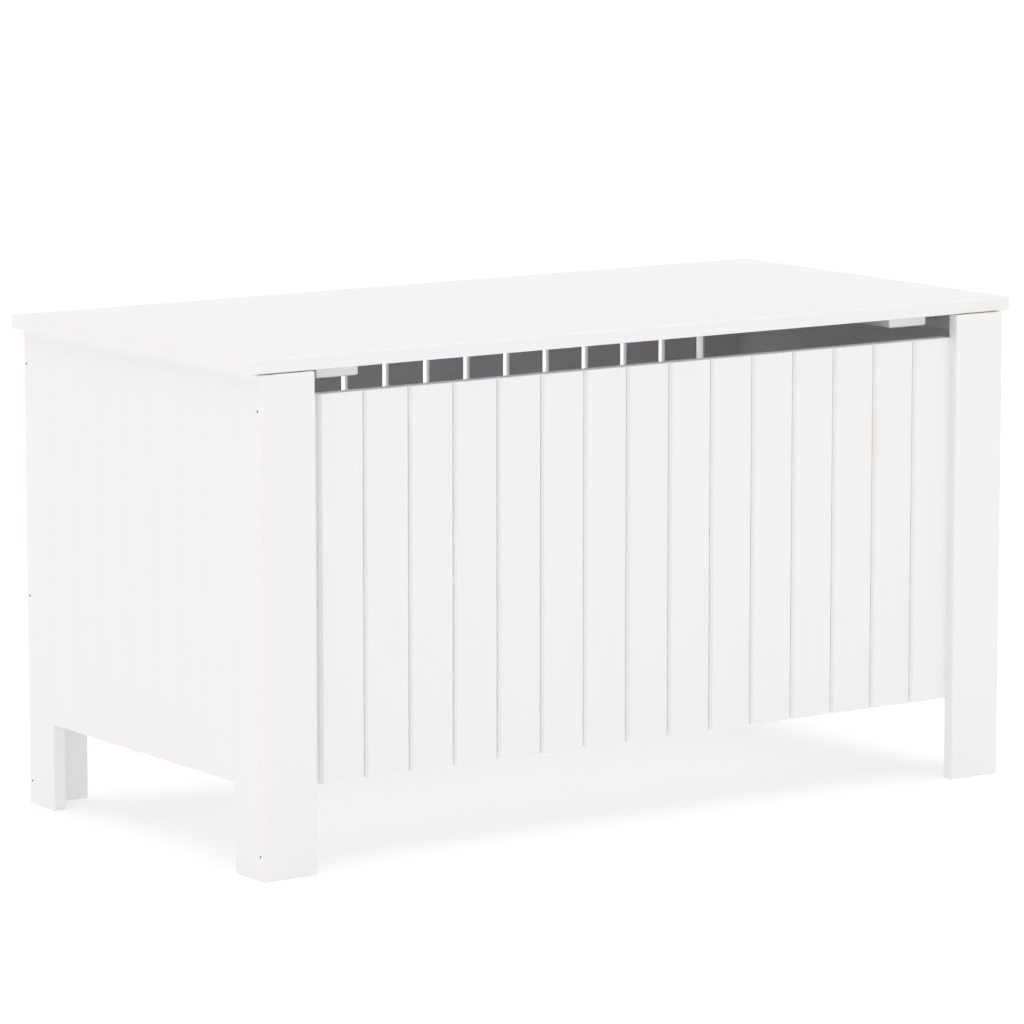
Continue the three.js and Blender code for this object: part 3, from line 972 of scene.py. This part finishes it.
# ------------------------------------------------------------------ camera, light and floor
def camera():
    data = bpy.data.cameras.new("camera")
    data.lens = CAMERA_LENS
    data.sensor_width = CAMERA_SENSOR
    data.clip_end = CAMERA_RANGE
    eye = link("camera", data)
    eye.location = CAMERA_PLACE
    turn = math.radians(CAMERA_AZIMUTH)
    dip = math.radians(CAMERA_ELEVATION)
    ahead = Vector((math.sin(turn) * math.cos(dip), math.cos(turn) * math.cos(dip), -math.sin(dip)))
    eye.rotation_mode = "QUATERNION"
    eye.rotation_quaternion = ahead.to_track_quat("-Z", "Y")
    bpy.context.scene.camera = eye


def softbox(name, settings):
    """A rectangular lamp that faces the box and isn't seen itself."""
    data = bpy.data.lights.new(name, "AREA")
    data.shape = "RECTANGLE"
    data.size, data.size_y = settings["size"]
    data.energy = settings["power"]
    data.color = settings["colour"]
    lamp = link(name, data)
    lamp.location = settings["at"]
    lamp.rotation_mode = "QUATERNION"
    lamp.rotation_quaternion = (Vector(LIT_MIDDLE) - Vector(settings["at"])).to_track_quat("-Z", "Y")
    lamp.visible_camera = False


def overhead():
    """A wide, even light from above, which reaches the whole floor."""
    data = bpy.data.lights.new("overhead", "SUN")
    data.energy = OVERHEAD_STRENGTH
    data.angle = OVERHEAD_SPREAD
    link("overhead", data).location = (0, 0, OVERHEAD_HEIGHT)


def studio():
    """White walls and a dimmer ceiling, a warm light from the left and a cool one from the front."""
    world = bpy.data.worlds.new("studio")
    bpy.context.scene.world = world
    world.use_nodes = True
    tree = world.node_tree
    background = tree.nodes["Background"]
    background.inputs["Color"].default_value = WHITE
    upward = shader(tree, "SeparateXYZ", {0: shader(tree, "TexCoord").outputs["Generated"]}).outputs["Z"]
    strength = remap(tree, upward, (HORIZON_TOP, CEILING_START), HORIZON_STRENGTH, CEILING_STRENGTH)
    connect(tree, strength, background.inputs["Strength"])
    softbox("left softbox", LEFT_SOFTBOX)
    softbox("front softbox", FRONT_SOFTBOX)
    overhead()
    bpy.context.scene.view_settings.view_transform = "Standard"
    bpy.context.scene.cycles.max_bounces = LIGHT_BOUNCES
    bpy.context.scene.cycles.diffuse_bounces = DIFFUSE_BOUNCES


def floor():
    mesh = bpy.data.meshes.new("floor")
    corners = rectangle((-FLOOR_REACH, -FLOOR_REACH), (FLOOR_REACH, FLOOR_REACH))
    mesh.from_pydata([(x, y, 0) for x, y in corners], [], [(0, 1, 2, 3)])
    ground = link("floor", mesh)
    material, tree, surface = new_material("floor")
    position = shader(tree, "TexCoord").outputs["Object"]
    clouds = noise(tree, position, detail=2.0, scale=FLOOR_CLOUD_SCALE)
    connect(tree, blend_colours(tree, clouds, *FLOOR_TONES), surface.inputs["Base Color"])
    surface.inputs["Roughness"].default_value = FLOOR_ROUGHNESS
    surface.inputs["Specular IOR Level"].default_value = FLOOR_SPECULAR
    surface.inputs["Emission Color"].default_value = WHITE
    surface.inputs["Emission Strength"].default_value = FLOOR_GLOW
    mesh.materials.append(material)


camera()
studio()
floor()
legs()
front_panel()
back_slats()
side_panels()
rails()
bottom()
lid()
hinges()
leg_nails()
front_panel_nails()
back_slat_nails()
side_rail_nails()
batten_screws()
bumpers()
